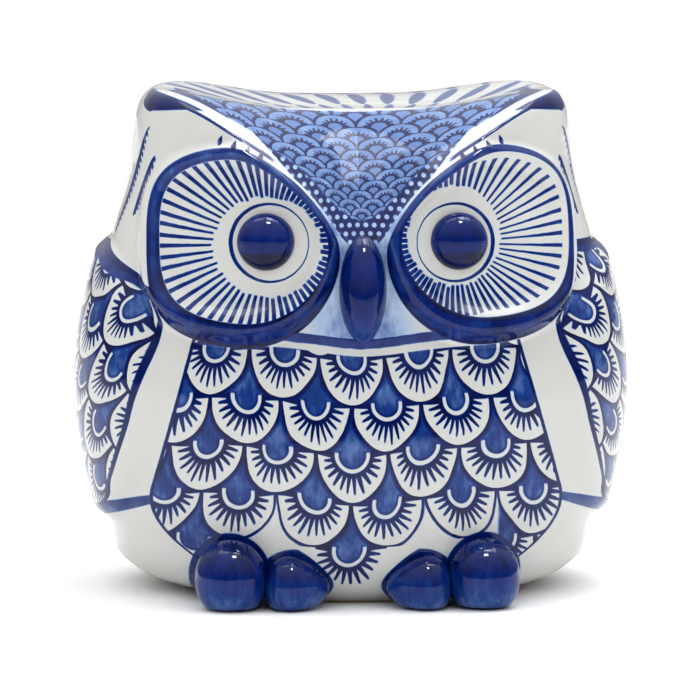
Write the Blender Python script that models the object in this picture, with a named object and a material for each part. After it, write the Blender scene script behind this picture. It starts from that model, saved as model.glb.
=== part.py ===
"""A glazed porcelain owl coin bank: a hollow body with luted-on beak, pupils and toes, and a rubber stopper.

The owl faces -Y and stands on z = 0, with the origin at the middle of its footprint. Lengths are in
millimetres up to make_object, which turns them into metres.
"""

import math

import bpy
import numpy as np

# Driving dimensions of the plain body: (height, distance from the axis) down its side, front and back.
HALF_WIDTH = ((0, 49), (3, 59.5), (8, 68), (20, 73), (38, 77.6), (60, 80.3), (82, 78.3), (105, 72.5), (124, 67), (156, 65))
FRONT = ((0, 45), (4, 53), (9, 58), (20, 61.5), (40, 63.5), (62, 62), (80, 58.5), (110, 57.5), (135, 54), (156, 51))
BACK = ((0, 47), (4, 59), (9, 63.5), (20, 67), (42, 69), (64, 69), (90, 64), (120, 54), (156, 44))
FRONT_SQUARENESS = ((0, 2.1), (60, 2.3), (105, 2.6), (156, 3.1))
BACK_SQUARENESS = 2.3
SHOULDER_HEIGHT = 126
VIRTUAL_TOP = 156
SHOULDER_SQUARENESS = 5
BACK_ROUNDING = 1.8

# The crown slopes back from two brow lines to the flat top of the head, which rises to the ear tips.
BROW = ((0, 105), (6, 110), (10, 116), (16, 123.5), (26, 132), (37, 139), (48, 145.5), (60, 150))
CROWN_LENGTH = ((0, 44), (20, 36), (40, 18), (58, 6))
CROWN_CURVE = 1.6
TOP_MIDDLE = 144.0
TOP_BACK_RISE = 3.0
EAR_RISE = ((0, 0), (24, 0.8), (40, 3.4), (50, 5.4), (60, 7))
CUT_ANGLE = math.radians(45)
CREST_ROUNDING = 2.6

# The two raised eye pads, each with a dish, seen from the front: x, z, half width, half height.
PAD = (34.5, 106.4, 27.8, 28.0)
DISH = (35.7, 108.9, 24.1, 23.3)
PAD_HEIGHT = 5.0
PAD_BROW_ROOM, DISH_BROW_ROOM = 3.0, 6.0
DISH_DEPTH = 3.6
RIM_BLEND = 2.9
FACE_HEIGHT = 1.4
MOUTH = ((0, 76.6), (24, 79.6), (40, 80.5), (60, 84))

# The raised wings, by angle round the body from the front in degrees, and by height.
WING_ANGLE, WING_ANGLE_REACH = 93, 41
WING_HEIGHT, WING_HEIGHT_REACH = 63, 43
WING_SQUARENESS = 2.4
WING_RISE = 3.4

WALL = 4.2
FOOT_RING_WIDTH = 6.0
FOOT_RING_HEIGHT = 3.0
STOPPER_HOLE_RADIUS = 20.0
SLOT_LENGTH, SLOT_WIDTH, SLOT_HEIGHT = 36.0, 5.0, 112.0

GAP = 0.4
BEAK_GAP = 0.9
RIM = 0.5
PUPIL = (28.0, 107.0, 8.4, 6.6)
BEAK_TOP, BEAK_BOTTOM, BEAK_HALF_WIDTH, BEAK_REACH = 108.7, 77.6, 6.9, 9.0
SOLE = 0.5
TOES = {
    "outer_toe": {"centre": (36.9, 57.0, 8.8), "half": (10.0, 11.6, 11.4), "point": 0.0},
    "inner_toe": {"centre": (19.6, 58.0, 6.6), "half": (7.2, 10.4, 9.4), "point": 5.4},
}

COLUMNS, ROWS = 96, 50
CAVITY_COLUMNS, CAVITY_ROWS = 32, 14
FRONT_CROWDING = 0.5
FACE_CROWDING = 1.3

WHITE_GLAZE = ((0.74, 0.76, 0.73), 0.12)
COBALT_GLAZE = ((0.02, 0.04, 0.22), 0.10)
STOPPER_RUBBER = ((0.16, 0.16, 0.17), 0.75)


def smooth_curve(points, at):
    """A smooth curve through (position, value) points, level beyond both ends."""
    x, y = np.array(points, float).T
    slope = np.gradient(y, x)
    at = np.clip(at, x[0], x[-1])
    i = np.clip(np.searchsorted(x, at) - 1, 0, len(x) - 2)
    step = x[i + 1] - x[i]
    t = (at - x[i]) / step
    start = (1 + 2 * t) * (1 - t) ** 2 * y[i] + t * (1 - t) ** 2 * step * slope[i]
    end = t**2 * (3 - 2 * t) * y[i + 1] - t**2 * (1 - t) * step * slope[i + 1]
    return start + end


def smooth_step(low, high, x):
    t = np.clip((x - low) / (high - low), 0, 1)
    return t * t * (3 - 2 * t)


def outline_distance(x, z, shape, brow_room):
    """Millimetres outside an eye outline: round by the nose, squarer outside, and kept below the brow."""
    centre_x, centre_z, half_x, half_z = shape
    u = (np.abs(x) - centre_x) / half_x
    v = (z - centre_z) / half_z
    power = 2.0 + np.clip(u, 0, 1) * (0.75 - 0.3 * np.clip(v, -1, 1))
    reach = (np.abs(u) ** power + np.abs(v) ** power) ** (1 / power)
    outside = (reach - 1) * 0.5 * (half_x + half_z)
    above = z - smooth_curve(BROW, np.abs(x)) + brow_room
    return np.maximum(outside, above)


def relief(x, y, z):
    """How far the modelled surface stands out from the plain body."""
    angle = np.degrees(np.arctan2(np.abs(x), -y))
    pad = outline_distance(x, z, PAD, PAD_BROW_ROOM)
    dish = outline_distance(x, z, DISH, DISH_BROW_ROOM)
    front = 1 - smooth_step(66, 78, angle)
    lift = (PAD_HEIGHT - 0.05 * (z - PAD[1])) * (1 - smooth_step(-RIM_BLEND, RIM_BLEND, pad))
    lift = lift - DISH_DEPTH * (1 - smooth_step(-RIM_BLEND - 1.0, RIM_BLEND - 1.0, dish))
    face = smooth_step(-1.2, 1.2, z - smooth_curve(MOUTH, np.abs(x)))
    face = face * (1 - smooth_step(30, 46, np.abs(x))) * (1 - smooth_step(104, 118, z))
    lift = np.maximum(lift, FACE_HEIGHT * face)
    brow = z - smooth_curve(BROW, np.abs(x))
    lift = lift + 1.3 * np.exp(-((brow / 4.5) ** 2)) * smooth_step(3, 9, np.abs(x))
    wing_u = np.abs(angle - WING_ANGLE) / WING_ANGLE_REACH
    wing_v = np.abs(z - WING_HEIGHT) / WING_HEIGHT_REACH
    wing = (wing_u**WING_SQUARENESS + wing_v**WING_SQUARENESS) ** (1 / WING_SQUARENESS)
    return lift * front + WING_RISE * (1 - smooth_step(0.86, 1.03, wing))


def plain_section(angle, z, fill, inset):
    """The plain body's outline at height z, shrunk towards the axis by fill and by inset."""
    side, ahead = np.sin(angle), np.cos(angle)
    half_width = smooth_curve(HALF_WIDTH, z) * fill - inset * np.sqrt(fill)
    front = smooth_curve(FRONT, z) * fill
    back = smooth_curve(BACK, z) * fill**BACK_ROUNDING
    depth = np.where(ahead > 0, front, back) - inset * np.sqrt(fill)
    power = np.where(ahead > 0, smooth_curve(FRONT_SQUARENESS, z), BACK_SQUARENESS)
    half_width, depth = np.maximum(half_width, 0.01), np.maximum(depth, 0.01)
    reach = (np.abs(side / half_width) ** power + np.abs(ahead / depth) ** power) ** (-1 / power)
    return reach * side, -reach * ahead


def plain_front(x, z):
    """The plain front's y at (x, z)."""
    half_width, depth = smooth_curve(HALF_WIDTH, z), smooth_curve(FRONT, z)
    power = smooth_curve(FRONT_SQUARENESS, z)
    return -depth * np.maximum(1 - np.abs(x / half_width) ** power, 0) ** (1 / power)


def front_surface(x, z):
    """The finished front's y at (x, z), found by stepping back along the surface's normal."""
    u, v = x.copy(), z.copy()
    for _ in range(8):
        slope_x = plain_front(u + 0.5, v) - plain_front(u - 0.5, v)
        slope_z = plain_front(u, v + 0.5) - plain_front(u, v - 0.5)
        y = plain_front(u, v)
        lift = relief(u, y, v) / np.sqrt(slope_x**2 + slope_z**2 + 1)
        u, v = x - lift * slope_x, z - lift * slope_z
    return y - lift


def crown_height(x, y):
    """Height of the crown and the flat top of the head above (x, y)."""
    x = np.abs(x)
    brow = smooth_curve(BROW, x)
    crest_y = plain_front(x, brow)
    length = smooth_curve(CROWN_LENGTH, x)
    top = TOP_MIDDLE + smooth_curve(EAR_RISE, x) + TOP_BACK_RISE * smooth_step(-20, 30, y)
    along = np.clip((y - crest_y) / length, 0, 1)
    return brow + (top - brow) * (1 - (1 - along) ** CROWN_CURVE)


def cut_crown(points, inset):
    """Slides what lies above the crown back and down on to it, with a rounded crest."""
    x, y, z = points[..., 0], points[..., 1], points[..., 2]
    back, down = math.cos(CUT_ANGLE), math.sin(CUT_ANGLE)
    low, high = np.full(x.shape, -200.0), np.full(x.shape, 80.0)
    for _ in range(36):
        middle = (low + high) / 2
        above = z - middle * down > crown_height(x, y + middle * back) - inset * 1.25
        low, high = np.where(above, middle, low), np.where(above, high, middle)
    slide = (low + np.sqrt(low**2 + CREST_ROUNDING**2)) / 2
    return np.stack([x, y + slide * back, z - slide * down], axis=-1)


def profile_rows(count):
    """(height, fill) rows from the bottom to the virtual top, closest together over the face."""
    straight = np.linspace(0, SHOULDER_HEIGHT, 400)
    turn = np.linspace(0, math.pi / 2, 400)[1:]
    power = SHOULDER_SQUARENESS
    reach = (np.cos(turn) ** power + np.sin(turn) ** power) ** (-1 / power)
    z = np.concatenate([straight, SHOULDER_HEIGHT + (VIRTUAL_TOP - SHOULDER_HEIGHT) * reach * np.sin(turn)])
    fill = np.concatenate([np.ones_like(straight), reach * np.cos(turn)])
    out = smooth_curve(HALF_WIDTH, z) * fill
    face = smooth_step(66, 76, z) * (1 - smooth_step(134, 146, z))
    crowding = 1 + FACE_CROWDING * face - 0.4 * smooth_step(0.05, 0.2, 1 - fill)
    run = np.concatenate([[0], np.cumsum(np.hypot(np.diff(z), np.diff(out)) * crowding[1:])])
    at = np.linspace(0, run[-1], count + 1)[:-1]
    return np.interp(at, run, z), np.interp(at, run, fill)


def owl_grid(columns, rows, inset):
    """A grid of points over the body; an inset one is the plain cavity inside it."""
    turn = np.linspace(-math.pi, math.pi, columns, endpoint=False)
    angle = turn - FRONT_CROWDING * np.sin(turn)
    height, fill = profile_rows(rows)
    angle, z = np.meshgrid(angle, height)
    fill = np.broadcast_to(fill[:, None], z.shape)
    if inset:
        floor = FOOT_RING_HEIGHT + inset
        x, y = plain_section(angle, z, fill, inset)
        squeezed = floor + z * (VIRTUAL_TOP - floor - inset) / VIRTUAL_TOP
        return cut_crown(np.stack([x, y, squeezed], axis=-1), inset)
    x, y = plain_section(angle, z, fill, 0)
    points = np.stack([x, y, z], axis=-1)
    across = np.roll(points, -1, axis=1) - np.roll(points, 1, axis=1)
    normal = np.cross(across, np.gradient(points, axis=0))
    normal /= np.maximum(np.linalg.norm(normal, axis=-1, keepdims=True), 1e-9)
    lifted = points + normal * relief(x, y, z)[..., None]
    lifted[0] = points[0]
    return cut_crown(lifted, 0)


def split_quad(points, quad):
    """Two triangles along the quad's shorter diagonal, which keeps a ridge that crosses the grid clean."""
    a, b, c, d = quad
    if np.linalg.norm(points[a] - points[c]) <= np.linalg.norm(points[b] - points[d]):
        return [(a, b, c), (a, c, d)]
    return [(a, b, d), (b, c, d)]


def grid_mesh(grid):
    """Vertices and outward faces of a closed body from rows that run from a flat bottom up to a pole."""
    rows, columns = grid.shape[:2]
    points = np.concatenate([grid.reshape(-1, 3), [grid[0].mean(axis=0), grid[-1].mean(axis=0)]])
    faces = []
    for row in range(rows - 1):
        for column in range(columns):
            right = (column + 1) % columns
            low, high = row * columns, (row + 1) * columns
            faces += split_quad(points, (low + column, low + right, high + right, high + column))
    last = (rows - 1) * columns
    for column in range(columns):
        right = (column + 1) % columns
        faces.append((right, column, rows * columns))
        faces.append((last + column, last + right, rows * columns + 1))
    return points, faces


def glaze(name, look):
    """A plain Principled material with a colour and a roughness."""
    material = bpy.data.materials.get(name) or bpy.data.materials.new(name)
    material.use_nodes = True
    shader = material.node_tree.nodes["Principled BSDF"]
    colour, roughness = look
    shader.inputs["Base Color"].default_value = (*colour, 1)
    shader.inputs["Roughness"].default_value = roughness
    shader.inputs["Metallic"].default_value = 0
    return material


def make_object(name, points, faces, origin, material):
    """A named, smooth-shaded object whose points are given in millimetres round the shared origin."""
    mesh = bpy.data.meshes.new(name)
    origin = np.array(origin, float)
    mesh.from_pydata(((points - origin) * 0.001).tolist(), [], faces)
    mesh.shade_smooth()
    mesh.set_sharp_from_angle(angle=math.radians(40))
    made = bpy.data.objects.new(name, mesh)
    made.location = origin * 0.001
    if material:
        mesh.materials.append(material)
    bpy.context.scene.collection.objects.link(made)
    return made


def cutter(name, points, faces):
    made = make_object(name, points, faces, (0, 0, 0), None)
    made.hide_render = True
    made.display_type = "WIRE"
    return made


def cut(target, tool):
    step = target.modifiers.new(tool.name, "BOOLEAN")
    step.operation = "DIFFERENCE"
    step.solver = "EXACT"
    step.object = tool


def turned(outline, sides):
    """Vertices and faces of a solid of revolution; the outline runs up from (0, z) to (0, z)."""
    angle = np.linspace(0, 2 * math.pi, sides, endpoint=False)
    rings = [np.stack([r * np.cos(angle), r * np.sin(angle), np.full(sides, z)], -1) for r, z in outline[1:-1]]
    points, faces = grid_mesh(np.array(rings))
    points[-2] = (0, 0, outline[0][1])
    points[-1] = (0, 0, outline[-1][1])
    return points, faces


def box(low, high):
    corners = [(x, y, z) for x in (low[0], high[0]) for y in (low[1], high[1]) for z in (low[2], high[2])]
    faces = [(0, 1, 3, 2), (4, 6, 7, 5), (0, 4, 5, 1), (2, 3, 7, 6), (0, 2, 6, 4), (1, 5, 7, 3)]
    return np.array(corners, float), faces


def foot_recess():
    """The shallow recess that leaves a foot ring round the base."""
    angle = np.linspace(-math.pi, math.pi, CAVITY_COLUMNS, endpoint=False)
    x, y = plain_section(angle, np.zeros_like(angle), np.ones_like(angle), FOOT_RING_WIDTH)
    rings = [np.stack([x, y, np.full_like(x, z)], -1) for z in (-2.0, FOOT_RING_HEIGHT)]
    return grid_mesh(np.array(rings))


def body_shell(white):
    points, faces = grid_mesh(owl_grid(COLUMNS, ROWS, 0))
    shell = make_object("body_shell", points, faces, (0, 0, 0), white)
    hole = ((0, -2), (STOPPER_HOLE_RADIUS, -2), (STOPPER_HOLE_RADIUS, 2 * WALL + 4), (0, 2 * WALL + 4))
    slot_low = (-SLOT_LENGTH / 2, 10, SLOT_HEIGHT - SLOT_WIDTH / 2)
    slot_high = (SLOT_LENGTH / 2, 90, SLOT_HEIGHT + SLOT_WIDTH / 2)
    cut(shell, cutter("cavity_cutter", *grid_mesh(owl_grid(CAVITY_COLUMNS, CAVITY_ROWS, WALL))))
    cut(shell, cutter("foot_recess_cutter", *foot_recess()))
    cut(shell, cutter("stopper_hole_cutter", *turned(hole, 48)))
    cut(shell, cutter("coin_slot_cutter", *box(slot_low, slot_high)))
    return shell


def ball(across, back, up, rings, sides):
    """Grid of a ball with its poles up and down, and its half sizes."""
    tilt = np.linspace(-math.pi / 2, math.pi / 2, rings + 2)[1:-1]
    turn = np.linspace(0, 2 * math.pi, sides, endpoint=False)
    tilt, turn = np.meshgrid(tilt, turn, indexing="ij")
    return np.stack([across * np.cos(tilt) * np.cos(turn), back * np.cos(tilt) * np.sin(turn), up * np.sin(tilt)], -1)


def seat(points, forward, gap=GAP):
    """Presses a luted-on piece's back against the body's front with a hairline gap, and keeps a thin rim."""
    limit = front_surface(points[:, 0], points[:, 2]) - gap - RIM * forward
    points[:, 1] = np.minimum(points[:, 1], limit)
    return points


def faces_forward(grid):
    """Which of a piece's vertices, with its two poles last, lie on its front half."""
    return np.concatenate([grid[..., 1].reshape(-1) < -1e-6, [False, False]])


def pupil(name, side, cobalt):
    x, z, radius, reach = PUPIL
    centre = np.array((side * x, 0.0, z))
    centre[1] = front_surface(centre[:1], centre[2:])[0]
    grid = ball(radius, reach, radius, 11, 24)
    points, faces = grid_mesh(grid)
    make_object(name, seat(points + centre, faces_forward(grid)), faces, centre, cobalt)


def beak(cobalt):
    """An almond with a ridge down its front, hooked at the lower end."""
    grid = ball(1, 1, 1, 15, 20)
    middle = (BEAK_TOP + BEAK_BOTTOM) / 2
    z = middle + grid[..., 2] * (BEAK_TOP - BEAK_BOTTOM) / 2
    ridge = np.sign(grid[..., 1]) * np.abs(grid[..., 1]) ** 1.35
    hook = 1 + 0.28 * (middle - z) / (BEAK_TOP - BEAK_BOTTOM) * 2
    face = front_surface(np.zeros_like(z), z)
    points = np.stack([grid[..., 0] * BEAK_HALF_WIDTH, face + ridge * BEAK_REACH * hook, z], -1)
    points, faces = grid_mesh(points)
    centre = (0, plain_front(np.zeros(1), np.array([middle]))[0], middle)
    make_object("beak", seat(points, faces_forward(grid), BEAK_GAP), faces, centre, cobalt)


def toe(name, side, shape, cobalt):
    """A ball of clay with a flat sole; the inner toe is drawn out to a low point towards the middle."""
    x, forward, z = shape["centre"]
    centre = np.array((side * x, -forward, z))
    grid = ball(*shape["half"], 11, 22)
    inward = np.clip(-side * grid[..., 0] / shape["half"][0], 0, 1)
    narrowed = 1 - 0.055 * shape["point"] * inward**1.5
    grid[..., 0] -= side * shape["point"] * inward**1.5
    grid[..., 1] *= narrowed
    grid[..., 2] *= narrowed
    points, faces = grid_mesh(grid)
    points = points + centre
    points[:, 2] = np.maximum(points[:, 2], SOLE)
    make_object(name, seat(points, faces_forward(grid)), faces, centre, cobalt)


def base_stopper(rubber):
    """A rubber bung: a flange under the base, a stem in the hole, and a soft lip inside."""
    under, seat_height = 1.0, FOOT_RING_HEIGHT - 0.3
    stem = STOPPER_HOLE_RADIUS - 0.35
    top = FOOT_RING_HEIGHT + WALL + 2.2
    outline = (
        (0, under + 0.9), (12, under + 0.9), (14, under), (22.2, under), (23.0, under + 0.5), (23.0, seat_height),
        (stem - 0.5, seat_height), (stem - 0.5, top - 2.2), (stem, top - 1.4), (stem - 1.2, top), (0, top),
    )
    points, faces = turned(outline, 48)
    centre = (0, 0, FOOT_RING_HEIGHT)
    return make_object("base_stopper", points, faces, centre, rubber)


def build():
    for old in list(bpy.data.objects):
        bpy.data.objects.remove(old)
    white, cobalt = glaze("white_glaze", WHITE_GLAZE), glaze("cobalt_glaze", COBALT_GLAZE)
    shell = body_shell(white)
    beak(cobalt)
    for word, side in (("left", -1), ("right", 1)):
        pupil(f"{word}_pupil", side, cobalt)
        for kind, shape in TOES.items():
            toe(f"{word}_foot_{kind}", side, shape, cobalt)
    base_stopper(glaze("stopper_rubber", STOPPER_RUBBER))
    for made in bpy.context.scene.objects:
        if made != shell:
            made.parent = shell


build()
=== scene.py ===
"""Looks of the owl coin bank: a glazed porcelain body hand painted in cobalt blue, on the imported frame.

The owl faces -Y. Shapes are in millimetres up to make_piece, which turns them into metres. The painting is a
set of shader nodes: guides stored on the vertices say where each painted region lies, and small functions
draw the feathers, the eyes and the strokes from them.
"""

import math
from functools import reduce

import bpy
import numpy as np
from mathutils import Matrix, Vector


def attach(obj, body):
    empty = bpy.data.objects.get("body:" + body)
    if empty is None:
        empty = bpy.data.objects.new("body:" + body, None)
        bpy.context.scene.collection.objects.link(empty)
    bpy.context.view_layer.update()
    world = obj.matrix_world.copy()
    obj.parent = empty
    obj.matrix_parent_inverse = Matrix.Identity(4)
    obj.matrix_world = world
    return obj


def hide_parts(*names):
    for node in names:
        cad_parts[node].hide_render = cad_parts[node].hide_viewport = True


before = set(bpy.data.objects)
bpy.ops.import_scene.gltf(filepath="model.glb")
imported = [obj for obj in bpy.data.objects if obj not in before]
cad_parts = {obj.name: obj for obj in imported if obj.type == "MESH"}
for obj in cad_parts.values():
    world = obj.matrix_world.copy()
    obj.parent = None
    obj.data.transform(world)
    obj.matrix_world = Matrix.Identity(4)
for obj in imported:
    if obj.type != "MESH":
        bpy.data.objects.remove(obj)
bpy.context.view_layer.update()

# Driving dimensions of the plain body: (height, distance from the axis) down its side, front and back.
HALF_WIDTH = (
    (0, 49), (3, 59.5), (8, 68), (20, 73), (38, 77.6),
    (60, 80.3), (82, 78.3), (105, 72.5), (124, 67), (156, 65),
)
FRONT = (
    (0, 45), (4, 53), (9, 58), (20, 61.5), (40, 63.5),
    (62, 62), (80, 58.5), (110, 57.5), (135, 54), (156, 51),
)
BACK = ((0, 47), (4, 59), (9, 63.5), (20, 67), (42, 69), (64, 69), (90, 64), (120, 54), (156, 44))
FRONT_SQUARENESS = ((0, 2.1), (60, 2.3), (105, 2.6), (156, 3.1))
BACK_SQUARENESS = 2.3
SHOULDER_HEIGHT = 126
VIRTUAL_TOP = 156
SHOULDER_SQUARENESS = 5
BACK_ROUNDING = 1.8

# The crown slopes back from two brow lines to the flat top of the head, which rises to the ear tips.
BROW = ((0, 105), (6, 110), (10, 116), (16, 123.5), (26, 132), (37, 139), (48, 145.5), (60, 150))
CROWN_LENGTH = ((0, 44), (20, 36), (40, 18), (58, 6))
CROWN_CURVE = 1.6
TOP_MIDDLE = 144.0
TOP_BACK_RISE = 3.0
EAR_RISE = ((0, 0), (24, 0.8), (40, 3.4), (50, 5.4), (60, 7))
CUT_ANGLE = math.radians(45)
CREST_ROUNDING = 2.6

# The two raised eye pads, each with a dish, seen from the front: x, z, half width, half height.
PAD = (34.5, 106.4, 27.8, 28.0)
DISH = (35.7, 108.9, 24.1, 23.3)
PAD_HEIGHT = 5.0
PAD_BROW_ROOM, DISH_BROW_ROOM = 3.0, 6.0
DISH_DEPTH = 3.6
RIM_BLEND = 2.9
FACE_HEIGHT = 1.4
MOUTH = ((0, 76.6), (24, 79.6), (40, 80.5), (60, 84))

# The raised wings, by angle round the body from the front in degrees, and by height.
WING_ANGLE, WING_ANGLE_REACH = 93, 41
WING_HEIGHT, WING_HEIGHT_REACH = 63, 43
WING_SQUARENESS = 2.4
WING_RISE = 3.4

WALL = 4.2
FOOT_RING_WIDTH = 6.0
FOOT_RING_HEIGHT = 3.0
STOPPER_HOLE_RADIUS = 20.0
SLOT_LENGTH, SLOT_WIDTH, SLOT_HEIGHT = 36.0, 5.0, 112.0

PUPIL = (28.0, 107.0, 8.4, 6.6)
BEAK_TOP, BEAK_BOTTOM, BEAK_HALF_WIDTH, BEAK_REACH = 108.7, 77.6, 6.9, 9.0
SOLE = 0.5
TOES = {
    "outer_toe": {"centre": (36.9, 57.0, 8.8), "half": (10.0, 11.6, 11.4), "point": 0.0},
    "inner_toe": {"centre": (19.6, 58.0, 6.6), "half": (7.2, 10.4, 9.4), "point": 5.4},
}

# The shell's grid, which is closer together on the front and the face, and the inside's.
SHELL_COLUMNS, SHELL_ROWS = 360, 270
INSIDE_COLUMNS, INSIDE_ROWS = 96, 60
FRONT_CROWDING = 0.5
FACE_CROWDING = 1.3

# The base hole, the coin slot's rounded lip, how deep it goes, and the room left round it in the grid.
HOLE_TOP = FOOT_RING_HEIGHT + WALL
SLOT_LIP, SLOT_DEPTH, SLOT_ROOM = 0.9, 5.2, 5.0

# The toes' extra half width, their shift towards -X, how square they are, and how far the point is drawn.
TOE_PRESS, TOE_SHIFT, TOE_SQUARENESS = 0.6, -1.4, 2.12
TOE_POINTING = 0.65

# Where the painting goes. Eyes: x, z, half width, half height of the band's outer and inner outlines.
LEFT_BAND, LEFT_WHITE = (34.2, 105.5, 27.5, 28.9), (34.1, 107.5, 23.8, 23.4)
RIGHT_BAND, RIGHT_WHITE = (34.6, 106.4, 27.8, 28.9), (36.0, 109.5, 24.9, 23.8)
LEFT_CALM, RIGHT_CALM = (27.6, 105.5, 15.2, 14.1), (26.7, 108.6, 13.4, 14.1)
IRIS_CENTRE, IRIS_RADIUS = (26.9, 106.7), 11.2
EYE_RAYS = 60
BRUSH_ROUNDING = 3.5

# The belly's side edges: distance from the middle at a height, and how much wider per millimetre below it.
BELLY_EDGE = {"left": (49.0, 79.0, 0.272), "right": (45.5, 81.0, 0.30)}
FEATHER_WIDTH, FEATHER_DROP = 21.0, 14.0
BELLY_TOP, BELLY_SAG, BELLY_LAST_ROW = 73.4, 2.6, 3
BELLY_END = 7.0

# The painted wing's front edge, by height and by angle round the body from the front in degrees.
WING_FRONT = ((22, 88), (28, 72), (36, 66), (44, 61.5), (52, 58), (60, 56), (75, 53), (93, 51))
WING_TOP, WING_TILT, WING_FEATHER_WIDTH = 97.0, math.radians(42), 20.0
WING_ARC_RADIUS, WING_STRAIGHT_BELOW = 76, 44
BACK_TOP, BACK_LAST_ROW = 121.0, 5
BACK_PANEL_HALF, SLOT_MARGIN = 42.0, 4.0
CROWN_TOP_REACH = 58.0
CROWN_DOT_PITCH = 2.4
PETALS, PETAL_LENGTH, PETALS_END = 52, 30.0, 122.0

# The painting round the feet stays outside this distance from the axis, clear of the recess in the base.
FEET_INNER_LIMIT = 44.0

# Brush strokes down the side of the head, from and to (angle round the body, height).
HEAD_STROKES = (
    ((60.5, 131), (67, 113)), ((64, 139.5), (79, 107)), ((77, 139), (94, 108)),
    ((92, 137), (107, 110)), ((108, 137), (121, 110)), ((124, 135), (135, 111)),
)
STROKE_BARB, BARB_PITCH = 3.4, 1.8

# Colours are linear. Cobalt runs from bare glaze to the deepest blue.
WHITE = (0.60, 0.605, 0.582)
COBALT = (
    (0.0, WHITE), (0.16, (0.39, 0.50, 0.69)), (0.36, (0.10, 0.19, 0.43)), (0.62, (0.008, 0.040, 0.205)),
    (0.82, (0.001, 0.011, 0.12)), (1.0, (0.0002, 0.0015, 0.028)),
)
BISCUIT = (0.62, 0.52, 0.36)
INSIDE_TONES = ((0.0, (0.62, 0.58, 0.50)), (0.6, (0.74, 0.72, 0.66)), (1.0, (0.78, 0.77, 0.73)))
RUBBER_TONES = ((0.0, (0.045, 0.045, 0.048)), (0.6, (0.065, 0.065, 0.068)), (1.0, (0.11, 0.11, 0.11)))

# The studio, in metres and degrees.
CAMERA_AZIMUTH, CAMERA_ELEVATION, CAMERA_DISTANCE = -3.5, 5.0, 1.400
CAMERA_AIM_HEIGHT, CAMERA_VIEW_WIDTH = 0.0705, 0.21175
LOW_SKY, HIGH_SKY, SKY_LEAN = 0.08, 1.75, (0.0, 0.1, 0.995)
FLOOR_COLOUR, FLOOR_REACH = (0.94, 0.94, 0.935), 90


def smooth_curve(points, at):
    """A smooth curve through (position, value) points, level beyond both ends."""
    x, y = np.array(points, float).T
    slope = np.gradient(y, x)
    at = np.clip(at, x[0], x[-1])
    i = np.clip(np.searchsorted(x, at) - 1, 0, len(x) - 2)
    step = x[i + 1] - x[i]
    t = (at - x[i]) / step
    start = (1 + 2 * t) * (1 - t) ** 2 * y[i] + t * (1 - t) ** 2 * step * slope[i]
    end = t**2 * (3 - 2 * t) * y[i + 1] - t**2 * (1 - t) * step * slope[i + 1]
    return start + end


def smooth_step(low, high, x):
    """0 below low and 1 above high, with a smooth rise between them."""
    t = np.clip((x - low) / (high - low), 0, 1)
    return t * t * (3 - 2 * t)


def outline_distance(x, z, shape, brow_room):
    """Millimetres outside an eye outline: round by the nose, squarer outside, and kept below the brow."""
    centre_x, centre_z, half_x, half_z = shape
    u = (np.abs(x) - centre_x) / half_x
    v = (z - centre_z) / half_z
    power = 2.0 + np.clip(u, 0, 1) * (0.95 - 0.05 * np.clip(v, -1, 1))
    reach = (np.abs(u) ** power + np.abs(v) ** power) ** (1 / power)
    outside = (reach - 1) * 0.5 * (half_x + half_z)
    above = z - smooth_curve(BROW, np.abs(x)) + brow_room
    return np.maximum(outside, above)


def relief(x, y, z):
    """How far the modelled surface stands out from the plain body."""
    angle = np.degrees(np.arctan2(np.abs(x), -y))
    pad = outline_distance(x, z, PAD, PAD_BROW_ROOM)
    dish = outline_distance(x, z, DISH, DISH_BROW_ROOM)
    front = 1 - smooth_step(66, 78, angle)
    lift = (PAD_HEIGHT - 0.05 * (z - PAD[1])) * (1 - smooth_step(-RIM_BLEND, RIM_BLEND, pad))
    lift = lift - DISH_DEPTH * (1 - smooth_step(-RIM_BLEND - 1.0, RIM_BLEND - 1.0, dish))
    face = smooth_step(-1.2, 1.2, z - smooth_curve(MOUTH, np.abs(x)))
    face = face * (1 - smooth_step(30, 46, np.abs(x))) * (1 - smooth_step(104, 118, z))
    lift = np.maximum(lift, FACE_HEIGHT * face)
    brow = z - smooth_curve(BROW, np.abs(x))
    lift = lift + 1.3 * np.exp(-((brow / 4.5) ** 2)) * smooth_step(3, 9, np.abs(x))
    wing_u = np.abs(angle - WING_ANGLE) / WING_ANGLE_REACH
    wing_v = np.abs(z - WING_HEIGHT) / WING_HEIGHT_REACH
    wing = (wing_u**WING_SQUARENESS + wing_v**WING_SQUARENESS) ** (1 / WING_SQUARENESS)
    return lift * front + WING_RISE * (1 - smooth_step(0.86, 1.03, wing))


def plain_section(angle, z, fill, inset):
    """The plain body's outline at height z, shrunk towards the axis by fill and by inset."""
    side, ahead = np.sin(angle), np.cos(angle)
    half_width = smooth_curve(HALF_WIDTH, z) * fill - inset * np.sqrt(fill)
    front = smooth_curve(FRONT, z) * fill
    back = smooth_curve(BACK, z) * fill**BACK_ROUNDING
    depth = np.where(ahead > 0, front, back) - inset * np.sqrt(fill)
    power = np.where(ahead > 0, smooth_curve(FRONT_SQUARENESS, z), BACK_SQUARENESS)
    half_width, depth = np.maximum(half_width, 0.01), np.maximum(depth, 0.01)
    reach = (np.abs(side / half_width) ** power + np.abs(ahead / depth) ** power) ** (-1 / power)
    return reach * side, -reach * ahead


def plain_front(x, z):
    """The plain front's y at (x, z)."""
    half_width, depth = smooth_curve(HALF_WIDTH, z), smooth_curve(FRONT, z)
    power = smooth_curve(FRONT_SQUARENESS, z)
    return -depth * np.maximum(1 - np.abs(x / half_width) ** power, 0) ** (1 / power)


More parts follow.
